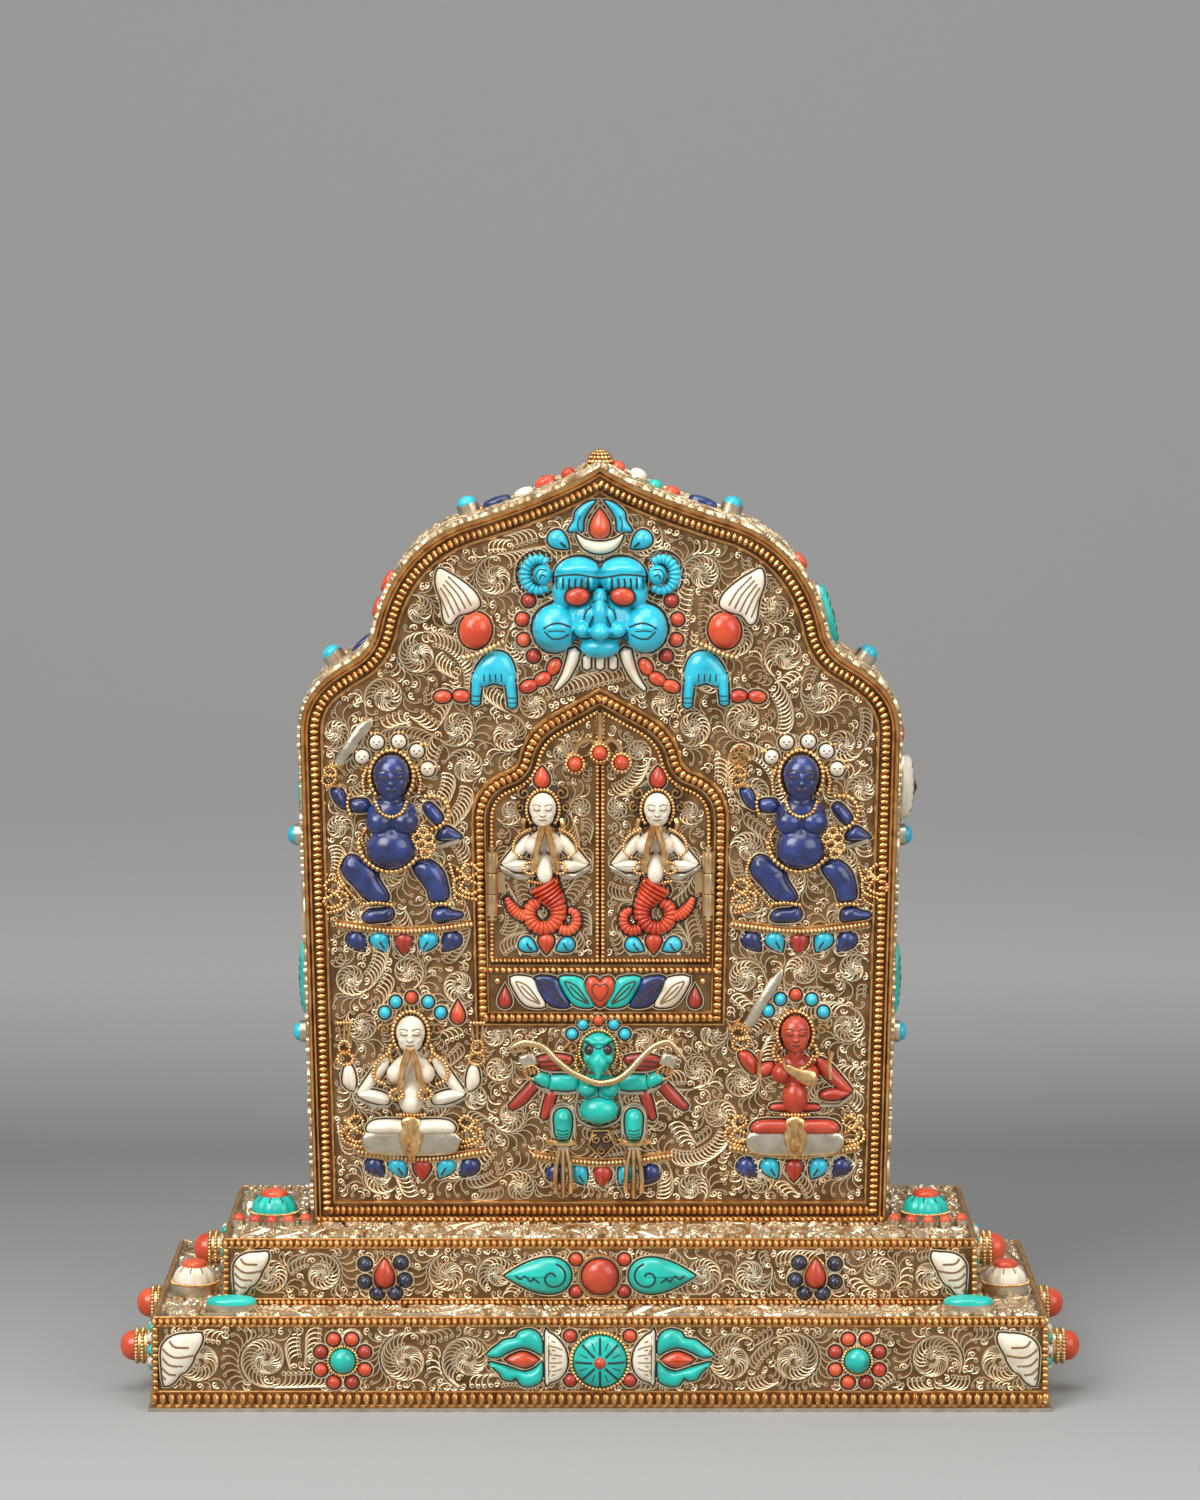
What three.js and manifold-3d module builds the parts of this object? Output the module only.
// Gau prayer box: a stepped two-tier base carries an ogee-arched case with two hinged door
// leaves. Stone reliefs, figures on lotus seats and beaded mouldings are soldered to the sheets.
// Millimetres. X runs across the front, -Y faces the viewer, Z rises from the underside.
import * as THREE from "three";
import { mergeVertices } from "three/addons/utils/BufferGeometryUtils.js";
import Module from "manifold-3d";

// Sheets and fits
const sheet = 1.2;
const gap = 0.3;
const seat = 0.15;

// Base
const plateThick = 1.0;
const plateLip = 2.0;
const lowerWidth = 215;
const lowerDepth = 84;
const lowerHeight = 22;
const upperWidth = 182;
const upperDepth = 61;
const upperHeight = 16.7;

// Case
const caseFront = -12;
const caseDepth = 36;
const caseHalf = 73.4;
const caseFoot = 70.8;
const caseSpring = 122.3;
const caseRise = 65.1;
const borderWidth = 5.8;

// Door frame, door leaves and hinges, with heights from the foot of the case
const frameHalf = 29.6;
const frameFoot = 28.8;
const frameBottom = 51.6;
const frameSpring = 101;
const frameRise = 30;
const sillHeight = 63.5;
const frameBead = 1.0;
const doorThick = 1.2;
const doorBack = 0.8;
const hingeMiddle = 85.3;
const knuckleLength = 5.1;
const knuckleRadius = 1.4;
const pinRadius = 0.6;
const hingeStandoff = 2.3;

// Relief
const curveSteps = 5;
const domeSides = 8;
const beadSides = 6;
const smallStone = 2.8;
const petalPitch = 5.65;
const studReach = 10;
const upperFootOut = 1.4;

// Rise of each tier
const lowerTop = plateThick + lowerHeight;
const upperTop = lowerTop + upperHeight;

const gold = new THREE.MeshStandardMaterial({ color: 0xbe8741, metalness: 0.9, roughness: 0.35 });
const paleGold = new THREE.MeshStandardMaterial({ color: 0xc8af7d, metalness: 0.8, roughness: 0.45 });
const silver = new THREE.MeshStandardMaterial({ color: 0xbeb4a0, metalness: 0.9, roughness: 0.4 });
const turquoise = new THREE.MeshStandardMaterial({ color: 0x28afb9, roughness: 0.4 });
const coral = new THREE.MeshStandardMaterial({ color: 0xc84632, roughness: 0.35 });
const lapis = new THREE.MeshStandardMaterial({ color: 0x2d3c96, roughness: 0.35 });
const bone = new THREE.MeshStandardMaterial({ color: 0xf0e8d7, roughness: 0.5 });
const malachite = new THREE.MeshStandardMaterial({ color: 0x0aaf9b, roughness: 0.4 });

const wasm = await Module();
wasm.setup();

function toSolid(geometry) {
  geometry.deleteAttribute("normal");
  geometry.deleteAttribute("uv");
  const merged = mergeVertices(geometry, 1e-4);
  const index = merged.index.array;
  const triangles = [];
  for (let i = 0; i < index.length; i += 3) {
    const [a, b, c] = index.slice(i, i + 3);
    if (a !== b && b !== c && c !== a) triangles.push(a, b, c);
  }
  const vertProperties = new Float32Array(merged.attributes.position.array);
  const triVerts = new Uint32Array(triangles);
  return new wasm.Manifold(new wasm.Mesh({ numProp: 3, vertProperties, triVerts }));
}

function toGeometry(solid) {
  const { vertProperties, triVerts } = solid.getMesh();
  const geometry = new THREE.BufferGeometry();
  geometry.setAttribute("position", new THREE.BufferAttribute(vertProperties, 3));
  geometry.setIndex(new THREE.BufferAttribute(triVerts, 1));
  geometry.computeVertexNormals();
  return geometry;
}

function join(solids) {
  return solids.reduce((all, next) => all.add(next));
}

function block([x0, y0, z0], [x1, y1, z1]) {
  const geometry = new THREE.BoxGeometry(x1 - x0, y1 - y0, z1 - z0);
  geometry.translate((x0 + x1) / 2, (y0 + y1) / 2, (z0 + z1) / 2);
  return toSolid(geometry);
}

// Reliefs are drawn in the plane of their face: u to the right, v up and w out of the face.
function slab(outline, low, high, hole) {
  const shape = new THREE.Shape(outline);
  if (hole) shape.holes.push(new THREE.Path(hole));
  const geometry = new THREE.ExtrudeGeometry(shape, { depth: high - low, bevelEnabled: false });
  geometry.translate(0, 0, low);
  return toSolid(geometry);
}

function domeGeometry(ru, rv, high) {
  const profile = [[0, 0], [1, 0], [0.82, 0.6], [0, 1]].map(([x, y]) => new THREE.Vector2(x, y));
  const sides = Math.max(ru, rv) < smallStone ? beadSides : domeSides;
  const geometry = new THREE.LatheGeometry(profile, sides);
  geometry.rotateX(Math.PI / 2);
  geometry.scale(ru, rv, high);
  return geometry;
}

function dome([u, v, ru, rv, high, low = 0]) {
  return toSolid(domeGeometry(ru, rv, high).translate(u, v, low));
}

// A bar of even width lying on the face along a path of u, v pairs
function stroke([path, wide, high, low = 0]) {
  const points = [];
  for (let i = 0; i < path.length; i += 2) points.push(new THREE.Vector2(path[i], path[i + 1]));
  const sides = points.map((p, i) => {
    const a = p.clone().sub(points[Math.max(i - 1, 0)]).normalize();
    const b = points[Math.min(i + 1, points.length - 1)].clone().sub(p).normalize();
    const normal = new THREE.Vector2(-a.y - b.y, a.x + b.x).normalize();
    const lean = Math.max(0.5, i ? normal.dot(new THREE.Vector2(-a.y, a.x)) : 1);
    return normal.multiplyScalar(wide / 2 / lean);
  });
  const left = points.map((p, i) => p.clone().add(sides[i]));
  const right = points.map((p, i) => p.clone().sub(sides[i]));
  return slab([...right, ...left.reverse()], low, low + high);
}

function post([u, v], radius, low, high, sides = 12) {
  const geometry = new THREE.CylinderGeometry(radius, radius, high - low, sides);
  geometry.rotateX(Math.PI / 2);
  geometry.translate(u, v, (low + high) / 2);
  return toSolid(geometry);
}

function relief({ domes = [], strokes = [], plates = [] }) {
  const sheets = plates.map(([outline, high]) => slab(outline.map(([u, v]) => new THREE.Vector2(u, v)), 0, high));
  return join([...domes.map(dome), ...strokes.map(stroke), ...sheets]);
}

function moved({ domes = [], strokes = [], plates = [] }, du, dv, side = 1) {
  const across = (path) => path.map((k, i) => (i % 2 ? k + dv : side * (k + du)));
  const outlineOf = (outline) => outline.map(([u, v]) => [side * (u + du), v + dv]);
  return {
    domes: domes.map(([u, v, ...rest]) => [side * (u + du), v + dv, ...rest]),
    strokes: strokes.map(([path, ...rest]) => [across(path), ...rest]),
    plates: plates.map(([outline, high]) => [side > 0 ? outlineOf(outline) : outlineOf(outline).reverse(), high]),
  };
}

function mirrored(part) {
  return moved(part, 0, 0, -1);
}

function merge(...parts) {
  return {
    domes: parts.flatMap((part) => part.domes ?? []),
    strokes: parts.flatMap((part) => part.strokes ?? []),
    plates: parts.flatMap((part) => part.plates ?? []),
  };
}

// Outlines run anticlockwise from the middle of the bottom edge.
const caseCurves = {
  shoulder: [1, 0.138, 0.926, 0.208, 0.8215, 0.2735],
  notch: [0.7657, 0.312, 0.7493, 0.387],
  haunch: [0.7166, 0.5607, 0.6335, 0.7097, 0.4673, 0.7834],
  tip: [0.1294, 0.9002, 0, 1],
};
const frameCurves = {
  shoulder: [0.993, 0.167, 0.905, 0.277, 0.76, 0.327],
  notch: [0.625, 0.367, 0.601, 0.517],
  haunch: [0.56, 0.66, 0.47, 0.75, 0.348, 0.81],
  tip: [0.169, 0.907, 0, 1],
};

function archOutline(foot, bottom, half, spring, rise, curves) {
  const scaled = (values) => values.map((k, i) => (i % 2 ? spring + k * rise : k * half));
  const path = new THREE.Path();
  path.moveTo(foot, bottom);
  path.lineTo(half, spring);
  path.bezierCurveTo(...scaled(curves.shoulder));
  path.quadraticCurveTo(...scaled(curves.notch));
  path.bezierCurveTo(...scaled(curves.haunch));
  path.quadraticCurveTo(...scaled(curves.tip));
  const right = path.getPoints(curveSteps);
  const left = right.slice(0, -1).reverse().map((p) => new THREE.Vector2(-p.x, p.y));
  return [...right, ...left];
}

// Inward mitre direction at each corner of a closed outline
function mitres(points) {
  return points.map((p, i) => {
    const before = points[(i + points.length - 1) % points.length];
    const after = points[(i + 1) % points.length];
    const a = p.clone().sub(before).normalize();
    const b = after.clone().sub(p).normalize();
    const normal = new THREE.Vector2(-a.y - b.y, a.x + b.x).normalize();
    return normal.divideScalar(Math.max(0.5, -a.y * normal.x + a.x * normal.y));
  });
}

function inset(points, distance) {
  const inward = mitres(points);
  return points.map((p, i) => p.clone().addScaledVector(inward[i], distance));
}

// A closed moulding: each profile point is [inset from the outline, w]
function moulding(points, profile) {
  const rings = profile.map(([distance]) => inset(points, distance));
  const positions = [];
  points.forEach((_, i) => profile.forEach(([, w], k) => positions.push(rings[k][i].x, rings[k][i].y, w)));
  const count = profile.length;
  const index = [];
  for (let i = 0; i < points.length; i += 1) {
    const here = i * count;
    const next = ((i + 1) % points.length) * count;
    for (let k = 0; k < count; k += 1) {
      const up = (k + 1) % count;
      index.push(here + k, here + up, next + k, next + k, here + up, next + up);
    }
  }
  const geometry = new THREE.BufferGeometry();
  geometry.setAttribute("position", new THREE.Float32BufferAttribute(positions, 3));
  geometry.setIndex(index);
  return toSolid(geometry);
}

function rectangle(width, depth) {
  const [x, y] = [width / 2, depth / 2];
  return [[-x, -y], [x, -y], [x, y], [-x, y]].map(([px, py]) => new THREE.Vector2(px, py));
}

const model = new THREE.Group();
function add(parent, name, solid, material) {
  const mesh = new THREE.Mesh(toGeometry(solid), material);
  mesh.name = name;
  parent.add(mesh);
  return mesh;
}

// A group whose local u, v, w lie on an upright face; turn is about Z from the front
function facing(x, y, z, turn = 0) {
  const group = new THREE.Group();
  group.position.set(x, y, z);
  group.rotation.set(Math.PI / 2, turn, 0);
  model.add(group);
  return group;
}

// Base plate and the two tiers, each four walls under a top sheet
const plateX = lowerWidth / 2 + plateLip;
const plateY = lowerDepth / 2 + plateLip;
add(model, "base_plate", block([-plateX, -plateY, 0], [plateX, plateY, plateThick]), silver);

// A side wall with its coral studs, each standing in a petalled collar
function sideWall(depth, height, studs) {
  const wall = block([-depth / 2 + sheet, 0, -sheet], [depth / 2 - sheet, height, 0]);
  const middle = height / 2;
  const shank = studReach * 0.6;
  const collars = studs.map((u) => post([u, middle], 5.6, -seat, 2, 10));
  const shanks = studs.map((u) => post([u, middle], 3.2, -seat, shank, 8));
  const stones = studs.map((u) => dome([u, middle, 3.6, 3.6, studReach - shank + seat, shank - seat]));
  return join([wall, ...collars, ...shanks, ...stones]);
}

function tier(name, width, depth, bottom, height, studs) {
  const [x, y] = [width / 2, depth / 2];
  const wallTop = bottom + height - sheet;
  add(model, `${name}_front_wall`, block([-x, -y, bottom], [x, -y + sheet, wallTop]), paleGold);
  add(model, `${name}_back_wall`, block([-x, y - sheet, bottom], [x, y, wallTop]), paleGold);
  const wall = sideWall(depth, height - sheet, studs);
  add(facing(-x, 0, bottom, -Math.PI / 2), `${name}_left_wall`, wall, paleGold);
  add(facing(x, 0, bottom, Math.PI / 2), `${name}_right_wall`, wall, paleGold);
  add(model, `${name}_top`, block([-x, -y, wallTop], [x, y, bottom + height]), paleGold);
}
tier("lower", lowerWidth, lowerDepth, plateThick, lowerHeight, [-lowerDepth * 0.27, lowerDepth * 0.27]);
tier("upper", upperWidth, upperDepth, lowerTop, upperHeight, [0]);

// Beaded wires round the foot and the upper edge of each tier
function beadRing(name, width, depth, low, high, out) {
  const middle = (low + high) / 2;
  const shy = (high - low) * 0.12;
  const profile = [
    [-seat, low],
    [-seat, high],
    [-seat - out * 0.7, high - shy],
    [-seat - out, middle],
    [-seat - out * 0.7, low + shy],
  ];
  add(model, name, moulding(rectangle(width, depth), profile), gold);
}
beadRing("lower_foot_bead", lowerWidth, lowerDepth, plateThick + seat, plateThick + 3.6, 1.8);
beadRing("lower_rim_bead", lowerWidth, lowerDepth, lowerTop - 2.1, lowerTop + 0.2, 1.6);
beadRing("upper_foot_bead", upperWidth, upperDepth, lowerTop + seat, lowerTop + 1.9, upperFootOut);
beadRing("upper_rim_bead", upperWidth, upperDepth, upperTop - 2.0, upperTop + 0.2, 1.5);

// Case: a bent band closed by a front and a back sheet
const front = facing(0, caseFront, upperTop + seat);
const caseLine = archOutline(caseFoot, 0, caseHalf, caseSpring, caseRise, caseCurves);
const frameLine = archOutline(frameFoot, frameBottom, frameHalf, frameSpring, frameRise, frameCurves);
const frameReach = 2.0;
const doorway = inset(frameLine, frameReach).map((p) => {
  const floor = sillHeight + frameBead + gap;
  return new THREE.Vector2(p.x, Math.max(p.y, floor));
});

// Stones set round the outer face of the band: share of the outline's half, half length, half width, height
const studShares = [0.198, 0.417, 0.62, 0.847];
const studStones = studShares.map((share) => [share, 2.5, 2.5, 4.4]);
const pairedStones = [...studStones, [0.258, 9.5, 3.4, 3.4], [0.879, 3.9, 2.2, 2.8]];
const leftStones = [
  [0.47, 5.8, 3.6, 2.4],
  [0.654, 3.6, 2.2, 2.0],
  [0.7, 3.0, 2.2, 2.2],
  [0.73, 3.2, 2.2, 2.2],
  [0.91, 2.6, 2.0, 2.6],
  [0.936, 2.8, 2.2, 3.6],
  [0.963, 1.9, 1.9, 3.0],
];
const rightStones = [
  [0.47, 8.4, 5.0, 6.0],
  [0.528, 2.8, 2.2, 2.4],
  [0.689, 8.6, 3.6, 3.8],
  [0.755, 2.4, 2.2, 2.4],
  [0.914, 2.0, 1.9, 2.6],
  [0.934, 1.9, 1.9, 2.6],
  [0.956, 2.3, 2.3, 3.6],
  [0.98, 1.9, 1.9, 3.0],
];
function bandStone([share, halfLength, halfWidth, high], side) {
  const right = caseLine.slice(0, (caseLine.length + 1) / 2);
  const lengths = right.slice(1).map((p, i) => p.distanceTo(right[i]));
  let rest = share * lengths.reduce((sum, length) => sum + length, 0);
  let i = 0;
  while (rest > lengths[i]) {
    rest -= lengths[i];
    i += 1;
  }
  const spot = right[i].clone().lerp(right[i + 1], rest / lengths[i]);
  const run = right[i + 1].clone().sub(right[i]).normalize();
  const along = new THREE.Vector3(run.x * side, run.y, 0);
  const out = new THREE.Vector3(run.y * side, -run.x, 0);
  const turn = new THREE.Matrix4().makeBasis(along, new THREE.Vector3().crossVectors(out, along), out);
  turn.setPosition(spot.x * side - out.x * seat, spot.y - out.y * seat, -caseDepth / 2);
  return toSolid(domeGeometry(halfLength, halfWidth, high).applyMatrix4(turn));
}
const bandSettings = [
  ...[...pairedStones, ...leftStones].map((stone) => bandStone(stone, -1)),
  ...[...pairedStones, ...rightStones].map((stone) => bandStone(stone, 1)),
];

// Mound of grains on the point of the arch
const finialRise = 2.8;
const finialSink = 1.6;
const finialMound = domeGeometry(3.0, 3.0, finialRise + finialSink).rotateX(-Math.PI / 2);
finialMound.translate(0, caseSpring + caseRise - finialSink, -caseDepth / 2);
const finial = toSolid(finialMound);
const band = slab(caseLine, -caseDepth, 0, inset(caseLine, sheet));
add(front, "case_band", join([band, finial, ...bandSettings]), paleGold);

const innerLine = inset(caseLine, sheet + seat);
add(front, "back_panel", slab(innerLine, -caseDepth, -caseDepth + sheet), silver);

// The front sheet is doubled round the doorway, so the leaves close against a lip.
const panelThick = doorThick + gap;
const lip = slab(inset(doorway, -3), -panelThick - doorBack, -panelThick, inset(doorway, 1.4));
add(front, "front_panel", slab(innerLine, -panelThick, 0, doorway).add(lip), paleGold);

const borderProfile = [
  [0, seat], [borderWidth, seat], [borderWidth, 1.1], [borderWidth - 1, 1.3], [borderWidth - 1.3, 2],
  [borderWidth - 2.4, 2.6], [borderWidth - 3.6, 2], [borderWidth - 3.9, 1.7], [0.4, 1.9],
];
add(front, "front_border", moulding(caseLine, borderProfile), gold);

const frameProfile = [
  [-2.2, seat], [frameBead, seat], [frameBead * 0.7, 1.6], [0, 2], [-0.7, 1.6], [-1, 1.2], [-2, 1.2],
];
const sillPath = [-frameFoot - 0.2, sillHeight, frameFoot + 0.2, sillHeight];
const sill = stroke([sillPath, frameBead * 2, 1.8, seat]);
add(front, "door_frame", moulding(frameLine, frameProfile).add(sill), gold);

// Door leaves with a beaded border, each hung on a three-knuckle hinge
const hingeReach = 1.5 * knuckleLength + gap;
function legAt(height) {
  const share = (height - frameBottom) / (frameSpring - frameBottom);
  return frameFoot + (frameHalf - frameFoot) * share;
}
const hingeLeg = Math.min(legAt(hingeMiddle - hingeReach), legAt(hingeMiddle + hingeReach));
const hingeX = hingeLeg - frameBead - gap - knuckleRadius;
const leafOutline = inset(doorway, 0.4);

function knuckle(side, low, high, radius) {
  const geometry = new THREE.CylinderGeometry(radius, radius, high - low, 12);
  geometry.translate(side * hingeX, (low + high) / 2, hingeStandoff);
  return toSolid(geometry);
}

function span(side, u0, u1, v0, v1, w0, w1) {
  return block([Math.min(side * u0, side * u1), v0, w0], [Math.max(side * u0, side * u1), v1, w1]);
}

function addLeaf(name, side) {
  const half = span(side, 0.3, frameHalf, 0, frameSpring + frameRise, -doorThick - 1, 4);
  const leaf = slab(leafOutline, -doorThick, 0).intersect(half);
  add(front, `${name}_door`, leaf, paleGold);

  const edge = leafOutline.filter((p) => p.x * side > 0.01);
  const top = leafOutline.reduce((best, p) => (p.y > best.y ? p : best));
  const foot = leafOutline[0].y;
  const line = side > 0
    ? [new THREE.Vector2(0.3, foot), ...edge, new THREE.Vector2(0.3, top.y - 0.4)]
    : [new THREE.Vector2(-0.3, top.y - 0.4), ...edge, new THREE.Vector2(-0.3, foot)];
  const bead = moulding(line, [[0.2, seat], [1.4, seat], [1.1, 0.9], [0.5, 0.9]]);
  const notchLow = hingeMiddle - hingeReach - 1;
  const notchHigh = hingeMiddle + hingeReach + 1;
  const notch = span(side, hingeX - 2.2, frameHalf, notchLow, notchHigh, -1, 4);
  add(front, `${name}_door_border`, bead.subtract(notch), gold);

  const middleLow = hingeMiddle - knuckleLength / 2;
  const middleHigh = hingeMiddle + knuckleLength / 2;
  const bore = knuckle(side, middleLow - 9, middleHigh + 9, pinRadius + gap + 0.05);
  const wing = span(side, hingeX - 3.2, hingeX - 0.3, middleLow, middleHigh, seat, 0.8);
  const wingFoot = span(side, hingeX - knuckleRadius, hingeX - 0.3, middleLow, middleHigh, seat, hingeStandoff);
  const turning = join([knuckle(side, middleLow, middleHigh, knuckleRadius), wing, wingFoot]).subtract(bore);
  add(front, `${name}_hinge_door_half`, turning, silver);

  const fixed = [];
  const stripIn = hingeX + 0.85;
  const stripOut = hingeLeg - frameBead - 0.2;
  for (const low of [middleLow - gap - knuckleLength, middleHigh + gap]) {
    const high = low + knuckleLength;
    fixed.push(knuckle(side, low, high, knuckleRadius));
    fixed.push(span(side, hingeX + 0.3, stripOut, low, high, seat, hingeStandoff));
  }
  fixed.push(span(side, stripIn, stripOut, middleLow - knuckleLength, middleHigh + knuckleLength, seat, 0.6));
  add(front, `${name}_hinge_frame_half`, join(fixed).subtract(bore), silver);

  const pinLow = hingeMiddle - hingeReach - gap - 0.3;
  const pinHigh = hingeMiddle + hingeReach + gap + 0.3;
  const heads = [[pinLow - 0.5, pinLow], [pinHigh, pinHigh + 0.5]];
  const pin = [knuckle(side, pinLow - 0.25, pinHigh + 0.25, pinRadius)];
  heads.forEach(([low, high]) => pin.push(knuckle(side, low, high, pinRadius * 1.8)));
  add(front, `${name}_hinge_pin`, join(pin), silver);
}
addLeaf("left", -1);
addLeaf("right", 1);

// Serpent figures on the leaves, drawn for the left leaf from the foot of the tail
const serpent = {
  domes: [
    [-1.1, 33.3, 3.2, 4.3, 6],
    [0.2, 38.6, 1.8, 2.2, 3],
    [-2.6, 24.2, 3, 2.8, 5],
    [1.6, 24.2, 3, 2.8, 5],
    [0.4, 16, 3.4, 4, 4.6],
  ],
  strokes: [
    [[-3.4, 26.3, -8.4, 20, -1.5, 19], 2.6, 4],
    [[1.8, 26.3, 8.6, 20.6, 1.5, 19.4], 2.6, 4],
    [[2.6, 15, 5.4, 9, 2.6, 4, -3, 4.6, -4.6, 8.4, -9, 9.6], 3.2, 4],
    [[3, 3.6, 7.4, 4, 8, 7.6], 2.2, 3.2],
    [[-1.1, 24, -1.1, 34, 0, 38], 2.6, 3],
    [[0.6, -1, 0.6, 4], 3, 2],
  ],
  plates: [[[[-6.4, 0.4], [-6, -2.6], [-4, -3.9], [-1.6, -2.4], [0.8, -3.9], [3.2, -2.4],
    [5.6, -3.9], [7.6, -2.6], [8, 0.4]], 2.8]],
};
const leftSerpent = moved(serpent, -13.7, frameBottom + 19.4);
add(front, "left_serpent", relief(leftSerpent), coral).position.z = seat;
add(front, "right_serpent", relief(mirrored(leftSerpent)), coral).position.z = seat;

// Clasp on the left leaf: three coral flowers on a bent wire below an upright rod
const claspHigh = frameSpring + frameRise - 13.5;
const claspRise = claspHigh + 2;
const flowers = [[-6.1, claspHigh - 2.7], [0, claspHigh], [5.2, claspHigh - 2.4]];
const clasp = relief({
  domes: flowers.map(([u, v]) => [u, v, 2.7, 2.7, 3.4, 1.6]),
  strokes: [
    [[...flowers[0], flowers[0][0] / 2, claspRise, ...flowers[1]], 1, 1, 1.7],
    [[...flowers[1], flowers[2][0] / 2, claspRise, ...flowers[2]], 1, 1, 1.7],
    [[...flowers[1], 0, claspHigh + 10], 1.6, 1.4, 1.6],
  ],
});
add(front, "door_clasp", clasp.add(post(flowers[0], 1.1, seat, 2.2, 8)), coral);

// Lotus petals in a tray under the leaves
const trayHeight = (frameBottom + sillHeight) / 2 + 0.4;
const trayLift = 4.1;
const trayReach = frameFoot - 4.4;
const tray = {
  domes: [[0, trayHeight + 0.2, 3.9, trayLift, 3.6]],
  strokes: [[[-trayReach, trayHeight, trayReach, trayHeight], 2.4, 1]],
};
for (const side of [-1, 1]) {
  [5.8, 11.6, 18].forEach((u) => tray.domes.push([side * u, trayHeight, 4.4, trayLift - 0.2, 3]));
  tray.domes.push([side * (trayReach - 1.8), trayHeight - 1.4, 2.2, 2.4, 2.6]);
}
add(front, "door_lotus_row", relief(tray), turquoise).position.z = seat;

// Lotus seat: a bowed ledge over five pointed petals
function lotus(half) {
  const outline = [[half, 3], [half * 0.5, 1.6], [-half * 0.5, 1.6], [-half, 3], [-half, 1], [-half * 0.72, -0.4]];
  for (const k of [-2, -1, 0, 1, 2]) {
    const u = k * petalPitch;
    outline.push([u - 2.3, -4], [u, -6.4], [u + 2.3, -4]);
    if (k < 2) outline.push([u + petalPitch / 2, -2]);
  }
  outline.push([half * 0.72, -0.4], [half, 1]);
  return { plates: [[outline, 3]] };
}

// Five crown stones round the top of a halo behind the head
function crown(u, v, wide, high) {
  const outline = [[u - 2, v - 4], [u + 2, v - 4]];
  for (const degrees of [80, 40, 0, -40, -80]) {
    for (const [turn, reach] of [[10, 0.94], [0, 1.18], [-10, 0.94]]) {
      const angle = THREE.MathUtils.degToRad(degrees + turn);
      outline.push([u + wide * reach * Math.sin(angle), v + high * reach * Math.cos(angle)]);
    }
  }
  return { plates: [[outline, 2.6]] };
}

const guardian = merge(crown(-1.7, 38.6, 8.4, 9.2), {
  domes: [
    [-2.5, 38.7, 4.4, 5.4, 6.5],
    [-6.2, 27.8, 3.7, 3.4, 5.4],
    [0, 27.8, 3.7, 3.4, 5.4],
    [-3.6, 21.4, 5.7, 4.4, 6],
  ],
  strokes: [
    [[-2.8, 28, -2.6, 36], 3.2, 4],
    [[-7, 30.4, -13.6, 30.6, -17, 36, -17.2, 42], 3, 4],
    [[2, 30, 9.6, 28.6, 12, 24, 2, 22.4], 3, 3.6],
    [[-5.4, 20.4, -12.6, 14.4, -7.6, 4, -7, 0.6], 4.4, 4.4],
    [[-0.4, 19, 7.6, 14.8, 8.6, 4, 9, 0.6], 4.4, 4.4],
    [[-10.6, 3, -3.6, 3], 2.4, 3.8],
    [[6.4, 3.4, 13.4, 3.4], 2.4, 3.8],
  ],
});
const swordArm = { strokes: [[[-17.6, 40.8, -9.4, 52.4], 2.2, 3]] };
const tridentHand = { strokes: [[[-17.2, 40.8, -17.2, 48], 2.4, 2.6], [[-19, 45, -15.4, 45], 2, 2.4]] };

const seated = merge(crown(0, 30.6, 7.2, 9.2), {
  domes: [
    [0, 31.6, 3.6, 4.7, 6],
    [-3, 22.2, 3, 3, 5],
    [3, 22.2, 3, 3, 5],
    [0.4, 15.6, 3, 4.2, 5],
    [-7, 7.6, 5.4, 2.8, 5],
    [7, 7.6, 5.4, 2.8, 5],
  ],
  strokes: [
    [[0, 22, 0, 29], 3, 4],
    [[-11.6, 3.4, 11.6, 3.4], 5.4, 3.6],
    [[0, 14, 0, 2], 4.6, 4.4],
  ],
});
const fourArms = {
  domes: [[9.4, 36.8, 2.2, 2.8, 3]],
  strokes: [
    [[-4, 24, -13, 16.6, -2, 15.2], 2.8, 4],
    [[4, 24.4, 13, 16.6, 2, 14.8], 2.8, 4],
    [[-12.4, 16, -16.8, 22.6, -18, 31], 2.6, 3.4],
    [[12.4, 16, 14, 23.4, 13.6, 31.8], 2.6, 3.4],
    [[4, 36.4, 9, 36.8], 1.6, 2.4],
  ],
};
const raisedSword = {
  strokes: [
    [[-3.6, 23.4, -10.4, 22.4, -13.4, 26.6, -14.4, 32.4], 2.8, 4],
    [[-14.6, 31.4, -4.4, 45.6], 2.2, 2.8],
    [[4, 24.4, 13, 17.2, 2, 16.2], 2.8, 4],
  ],
};

const halfBird = {
  domes: [[2.6, 17.8, 2.8, 2.6, 5]],
  strokes: [
    [[1, 19.2, 12.6, 19.2, 18.4, 25.4], 3, 4],
    [[0, 19.6, 4, 21, 12, 28, 19.4, 28.6], 2, 4.6],
    [[12, 19, 19.4, 11.6], 3.6, 2.8],
    [[9.4, 18.6, 12.4, 10], 3.4, 3],
    [[2, 13, 8.4, 13, 8.4, 1], 4.2, 4.8],
  ],
};
const bird = merge(crown(0, 27, 7, 5.6), halfBird, mirrored(halfBird), {
  domes: [
    [0, 27.6, 3.6, 4.4, 6.4],
    [0, 22.4, 1.6, 2.9, 7.6],
    [0, 13, 4.8, 3.8, 5.4],
    [0, 4.6, 3.1, 4, 4.8],
  ],
  strokes: [[[0, 1, 0, 24], 3, 4]],
});

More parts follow.
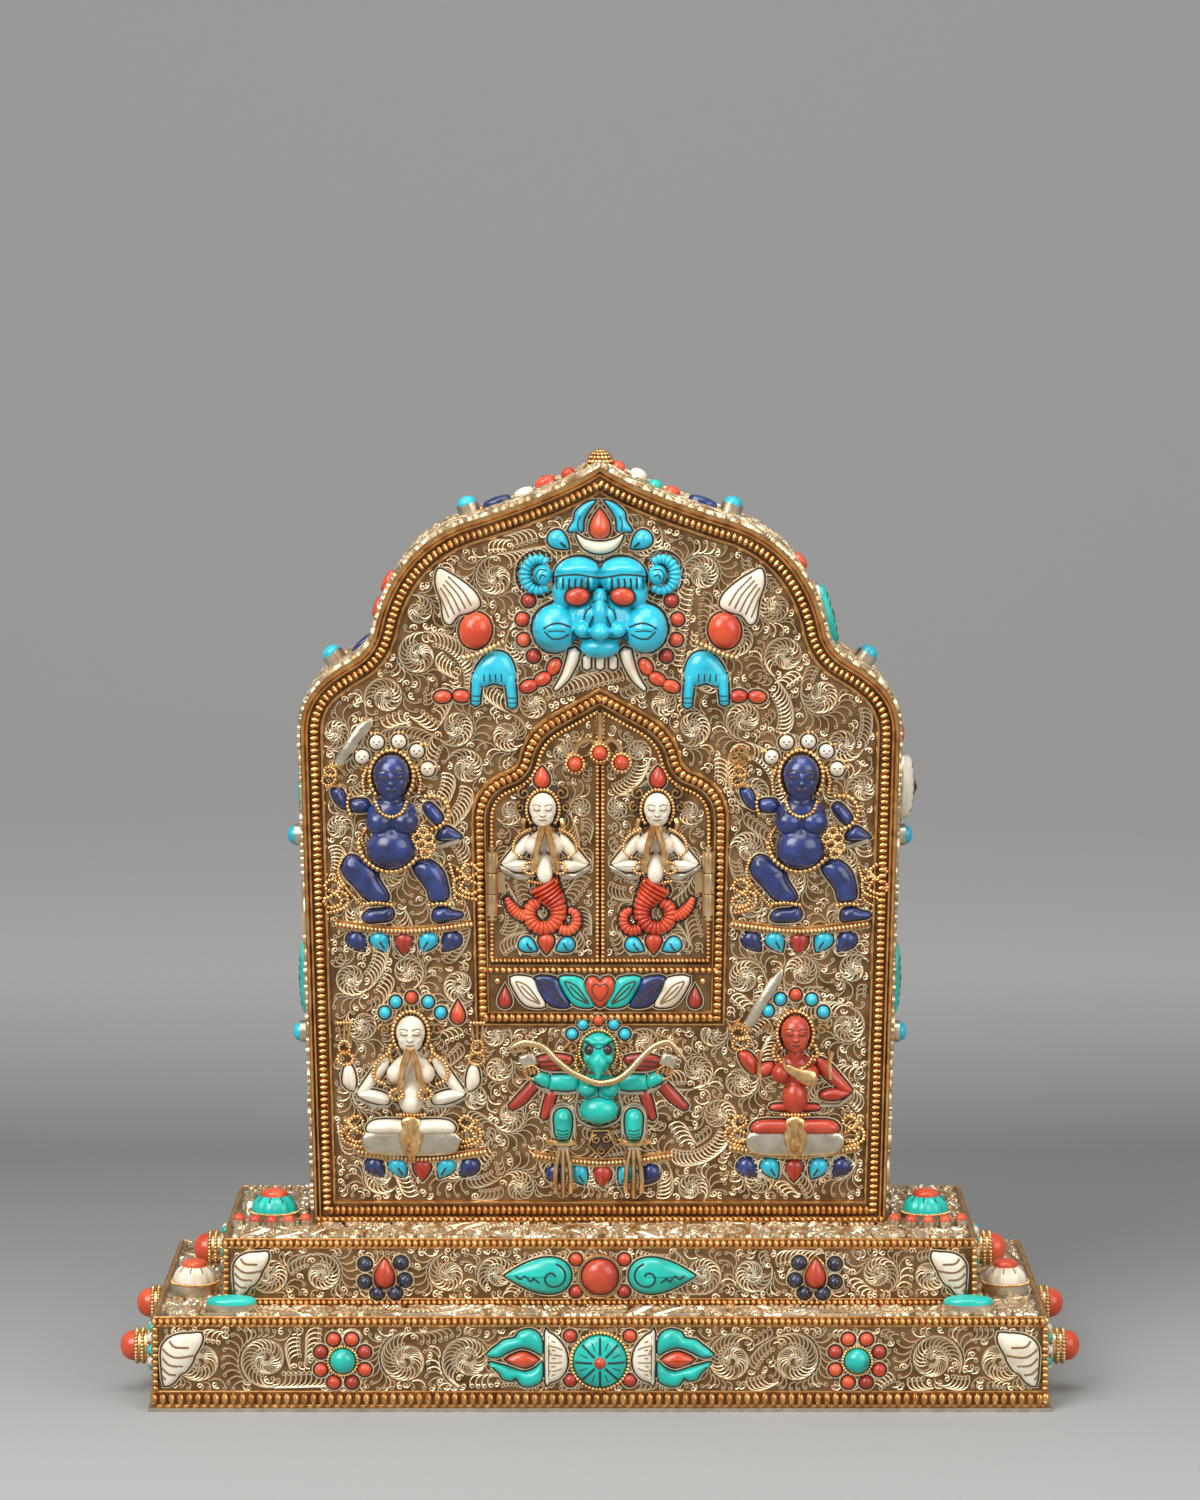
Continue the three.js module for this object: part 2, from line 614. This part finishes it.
const figureRow = 0.655 * caseHalf;
const upperLedge = frameBottom + 21.9;
const lowerLedge = 16.8;
function addFigure(name, parts, material) {
  add(front, name, relief(merge(...parts)), material).position.z = seat;
}
const leftGuardian = moved(merge(guardian, swordArm), -figureRow, upperLedge);
addFigure("left_guardian", [leftGuardian, moved(lotus(15.6), -figureRow - 0.3, upperLedge)], lapis);
const rightGuardian = moved(merge(guardian, tridentHand), figureRow + 4, upperLedge);
addFigure("right_guardian", [rightGuardian, moved(lotus(15.6), figureRow + 0.9, upperLedge)], lapis);
const whiteFigure = moved(merge(seated, fourArms, lotus(15.2)), -figureRow + 2.2, lowerLedge);
addFigure("four_armed_figure", [whiteFigure], bone);
addFigure("sword_figure", [moved(merge(seated, raisedSword, lotus(15.2)), figureRow, lowerLedge)], coral);
addFigure("bird_figure", [moved(merge(bird, lotus(16.6)), 0.7, lowerLedge - 1.6)], malachite);

// Guardian mask under the point of the arch, with its crown and its two arms
const maskHeight = caseSpring + caseRise - 43;
const halfMask = {
  domes: [
    [5.2, 15.4, 5.8, 6.6, 8],
    [5.6, 8.8, 3, 2.6, 8.6],
    [10.6, 0.6, 6.4, 6.6, 7],
    [14.9, 14.2, 4.6, 5.4, 5.4],
  ],
  strokes: [
    [[6.2, -3, 9.2, -13.4], 2.6, 5.4],
    [[11, 5, 14.4, 10.4], 4, 4.6],
  ],
};
const muzzle = {
  domes: [[0, 2.6, 4.6, 6.8, 9.6], [0, -3.6, 5.6, 3.8, 8]],
  strokes: [[[-5, -7.2, 5, -7.2], 3.6, 5.6]],
};
const mask = merge(halfMask, mirrored(halfMask), muzzle);
add(front, "mask", relief(moved(mask, 0, maskHeight)), turquoise).position.z = seat;

const halfCrown = {
  domes: [[9.9, 22.2, 2.2, 2.4, 3.4]],
  strokes: [[[2.6, 31.4, 6.2, 25.6, 9.9, 22.2], 2.4, 3.2]],
};
const middleCrown = {
  domes: [[0, 27, 3, 3.8, 4.6]],
  strokes: [[[-6, 25.6, -3.6, 23, 3.6, 23, 6, 25.6], 2, 3.6]],
};
const crownParts = merge(halfCrown, mirrored(halfCrown), middleCrown);
add(front, "mask_crown", relief(moved(crownParts, 0, maskHeight + 1)), coral).position.z = seat;

const arm = {
  domes: [
    [29.9, -1, 4.3, 5, 5],
    [25.8, -11.4, 5.2, 3.8, 5],
  ],
  strokes: [
    [[38.6, 12.6, 31.4, 2], 6.4, 4],
    [[31.4, -8.6, 23.8, -4.2], 3, 4],
    [[28.4, -4, 26.6, -10], 5, 4],
    [[27.8, -12, 29.6, -17.2], 3.2, 4],
    [[23.6, -12, 22.2, -18], 3.2, 4],
    [[28.6, -15.4, 38, -16.8], 2.6, 2.4],
    [[23, -15.2, 15.4, -13], 2.6, 2.6],
  ],
};
add(front, "right_arm", relief(moved(arm, 0, maskHeight)), turquoise).position.z = seat;
add(front, "left_arm", relief(moved(mirrored(arm), 0, maskHeight)), turquoise).position.z = seat;

// Settings on the tier fronts
function flower(heart, ring, stone, count, turn = 0) {
  const domes = [[0, 0, heart, heart, 4.2]];
  for (let k = 0; k < count; k += 1) {
    const angle = turn + (k * 2 * Math.PI) / count;
    domes.push([ring * Math.cos(angle), ring * Math.sin(angle), stone, stone, 2.8]);
  }
  return relief({ domes }).add(post([0, 0], ring, 0, 1, count));
}

// A scallop shell: a fan of ribs spreading from the foot
function shell(wide, high) {
  const outline = [[-wide * 0.2, -high / 2], [wide * 0.2, -high / 2]];
  for (const degrees of [66, 44, 22, 0, -22, -44, -66]) {
    const angle = THREE.MathUtils.degToRad(degrees);
    const reach = degrees % 44 ? 0.9 : 1;
    outline.push([wide * reach * Math.sin(angle), high * (reach * Math.cos(angle) - 0.5)]);
  }
  return relief({ domes: [[0, -high * 0.2, wide * 0.5, high * 0.28, 4]], plates: [[outline, 2.6]] });
}

const lowerFront = facing(0, -lowerDepth / 2 - seat, plateThick + lowerHeight * 0.52);
const upperFront = facing(0, -upperDepth / 2 - seat, lowerTop + upperHeight * 0.46);
function addTrim(parent, name, solid, material, u, v = 0) {
  add(parent, name, solid, material).position.set(u, v, 0);
}
for (const [side, word] of [[-1, "left"], [1, "right"]]) {
  addTrim(lowerFront, `lower_${word}_flower`, flower(3.1, 5.8, 1.8, 8), turquoise, side * lowerWidth * 0.29);
  addTrim(upperFront, `upper_${word}_flower`, flower(2.7, 3.9, 1.6, 6, 0.5), coral, side * upperWidth * 0.289);
  addTrim(lowerFront, `lower_${word}_shell`, shell(5.2, 9.6), bone, side * (lowerWidth / 2 - 5.8));
  addTrim(upperFront, `upper_${word}_shell`, shell(4.6, 8), bone, side * (upperWidth / 2 - 5.6), 0.6);
}

const halfWheel = {
  domes: [[11, 0, 2.8, 6, 3.2], [17.6, 1.6, 5.4, 2.6, 3.2], [21.6, -1.2, 5.6, 3.2, 3.2]],
};
const wheel = merge(halfWheel, mirrored(halfWheel), {
  domes: [[0, 0, 7, 7, 3.8], [0, 0, 2.2, 2.2, 5.2]],
  strokes: [[[-24, 0, 24, 0], 2.4, 1.2]],
});
addTrim(lowerFront, "lower_wheel", relief(wheel), turquoise, 0);

const halfMedal = {
  domes: [[10.6, -1, 3.8, 3.6, 3.2], [17.8, 0.6, 5.8, 2.4, 3.2]],
};
const medal = merge(halfMedal, mirrored(halfMedal), {
  domes: [[0, 0, 4.4, 4.4, 4.6]],
  strokes: [[[-20, 0, 20, 0], 2.4, 1.2]],
});
addTrim(upperFront, "upper_medallion", relief(medal), turquoise, 0);

// Fluted domes and ovals standing on the ledges
function ledgeDome(radius) {
  const high = radius * 1.45;
  const profile = [[0, 0], [1, 0], [1, 0.22], [0.86, 0.26], [0.8, 0.55], [0.5, 0.78], [0.34, 0.8], [0, 1]];
  const points = profile.map(([r, h]) => new THREE.Vector2(r * radius, h * high));
  return toSolid(new THREE.LatheGeometry(points, 12).rotateX(Math.PI / 2));
}
const oval = dome([0, 0, 6.4, 3.4, 3.4]);
const upperLedgeX = (upperWidth / 2 + caseFoot) / 2;
const lowerLedgeIn = upperWidth / 2 + seat + upperFootOut;
const lowerLedgeWide = lowerWidth / 2 - lowerLedgeIn;
const lowerLedgeX = lowerLedgeIn + lowerLedgeWide / 2;
const lowerDomeRadius = lowerLedgeWide * 0.39;
const ovalY = -(lowerDepth + upperDepth) / 4 - 0.3;
for (const [side, word] of [[-1, "left"], [1, "right"]]) {
  const upperDome = add(model, `upper_${word}_dome`, ledgeDome(6), turquoise);
  upperDome.position.set(side * upperLedgeX, caseFront + 4, upperTop + seat);
  const lowerDome = add(model, `lower_${word}_dome`, ledgeDome(lowerDomeRadius), bone);
  lowerDome.position.set(side * lowerLedgeX, -lowerDepth * 0.214, lowerTop + seat);
  const stone = add(model, `lower_${word}_oval`, oval, turquoise);
  stone.position.set(side * (lowerLedgeX - 10.4), ovalY, lowerTop + seat);
}

export default model;
